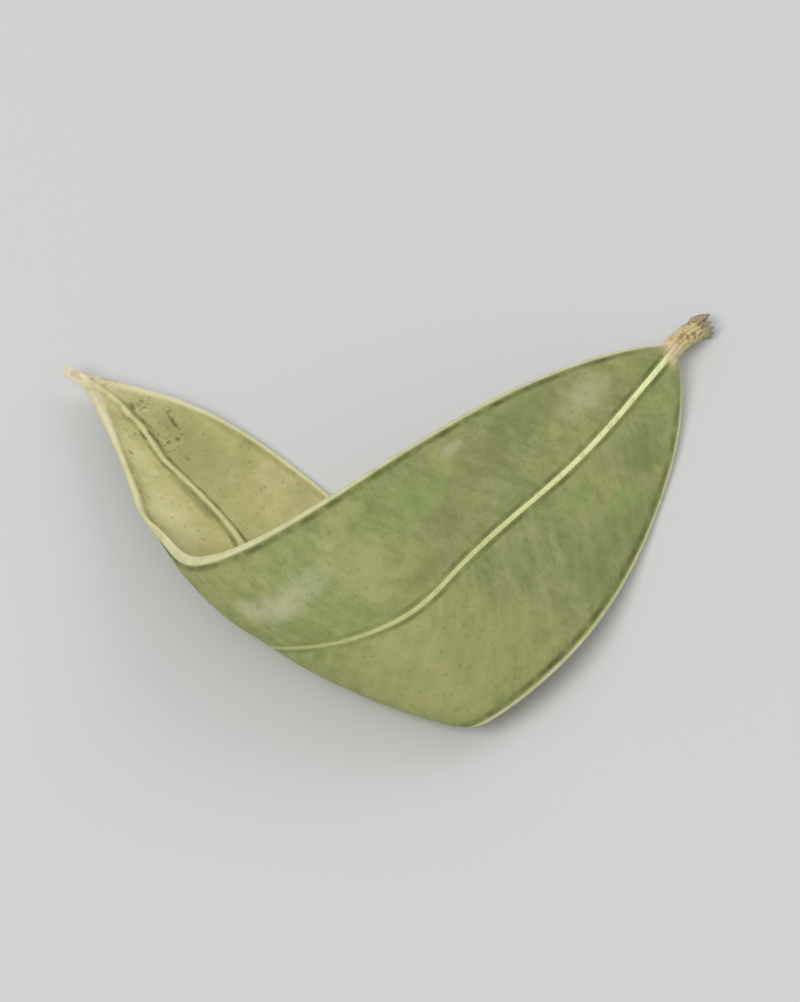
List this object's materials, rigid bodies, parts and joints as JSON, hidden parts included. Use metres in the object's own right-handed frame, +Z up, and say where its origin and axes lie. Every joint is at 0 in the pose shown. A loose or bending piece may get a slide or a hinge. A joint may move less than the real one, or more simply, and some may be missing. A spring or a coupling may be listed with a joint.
{
  "type": "dried myrtle leaf",
  "caption": "Dried myrtle leaf: pointed oval blade curled back on itself along its length, with raised midrib, thickened margin, hooked tip and a short stalk.",
  "frame": {"origin": "middle of the leaf's footprint, on the surface it lies on", "axes": "+Z up from that surface; +X along the leaf's longest extent, from the hooked tip towards the stalk; +Y towards the open side of the curl, where the tip and the stalk are"},
  "size_m": [0.029, 0.0212, 0.0082],
  "materials": {
    "leaf": "matt, dry, olive green above and paler straw green beneath"
  },
  "bodies": {
    "root": {"leaf": "leaf"}
  },
  "joints": []
}
